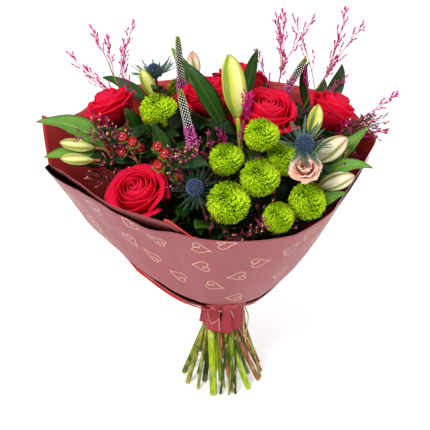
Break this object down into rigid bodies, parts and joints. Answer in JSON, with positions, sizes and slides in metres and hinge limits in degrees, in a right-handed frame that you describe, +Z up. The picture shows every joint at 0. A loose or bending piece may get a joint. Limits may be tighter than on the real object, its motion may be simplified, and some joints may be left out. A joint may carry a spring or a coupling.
{
  "type": "mixed flower bouquet",
  "caption": "Hand-tied mixed bouquet of roses, green pompom flowers, buds and grasses in a heart-printed paper wrap, standing on its stems.",
  "frame": {"origin": "on the surface below the middle of the bouquet's outline", "axes": "+Z up, -Y towards the low front rim of the wrap, +X to the right seen from the front"},
  "size_m": [0.3826, 0.2794, 0.4498],
  "materials": {
    "stem": "satin",
    "rose_petal": "matte",
    "green_petal": "satin",
    "lily_bud": "satin",
    "cream_bud": "satin",
    "peach_petal": "satin",
    "veronica_floret": "satin",
    "thistle_blue": "satin",
    "berry_spray": "gloss",
    "magenta_grass": "satin",
    "mauve_floret": "satin",
    "leaf": "satin",
    "red_paper": "matte",
    "rose_paper": "matte",
    "string": "matte",
    "twine": "matte"
  },
  "bodies": {
    "root": {"rose_1_stem": "stem", "rose_1_bloom": "rose_petal", "rose_2_stem": "stem", "rose_2_bloom": "rose_petal", "rose_3_stem": "stem", "rose_3_bloom": "rose_petal", "rose_4_stem": "stem", "rose_4_bloom": "rose_petal", "rose_5_stem": "stem", "rose_5_bloom": "rose_petal", "rose_6_stem": "stem", "rose_6_bloom": "rose_petal", "pompom_1_stem": "stem", "pompom_head_1": "green_petal", "pompom_head_2": "green_petal", "pompom_head_3": "green_petal", "pompom_2_stem": "stem", "pompom_head_4": "green_petal", "pompom_head_5": "green_petal", "pompom_head_6": "green_petal", "pompom_head_7": "green_petal", "pompom_3_stem": "stem", "pompom_head_8": "green_petal", "pompom_head_9": "green_petal", "lily_1_stem": "stem", "lily_bud_1": "lily_bud", "lily_bud_2": "lily_bud", "lily_2_stem": "stem", "lily_bud_3": "lily_bud", "alstroemeria_1": "cream_bud", "alstroemeria_2": "cream_bud", "peach_bloom": "peach_petal", "alstroemeria_3": "cream_bud", "veronica_1": "veronica_floret", "veronica_2": "veronica_floret", "veronica_3": "veronica_floret", "thistle_1": "thistle_blue", "thistle_2": "thistle_blue", "thistle_3": "thistle_blue", "hypericum_1": "berry_spray", "hypericum_2": "berry_spray", "grass_1": "magenta_grass", "grass_2": "magenta_grass", "grass_3": "magenta_grass", "grass_4": "magenta_grass", "grass_5": "magenta_grass", "floret_1": "mauve_floret", "floret_2": "mauve_floret", "floret_3": "mauve_floret", "floret_4": "mauve_floret", "foliage_1": "leaf", "foliage_2": "leaf", "foliage_3": "leaf", "wrap_inner_sheet": "red_paper", "wrap_outer_sheet": "rose_paper", "binding_string": "string", "twine_tie": "twine", "twine_strand_1": "twine", "twine_strand_2": "twine", "twine_knot": "twine"}
  },
  "joints": []
}
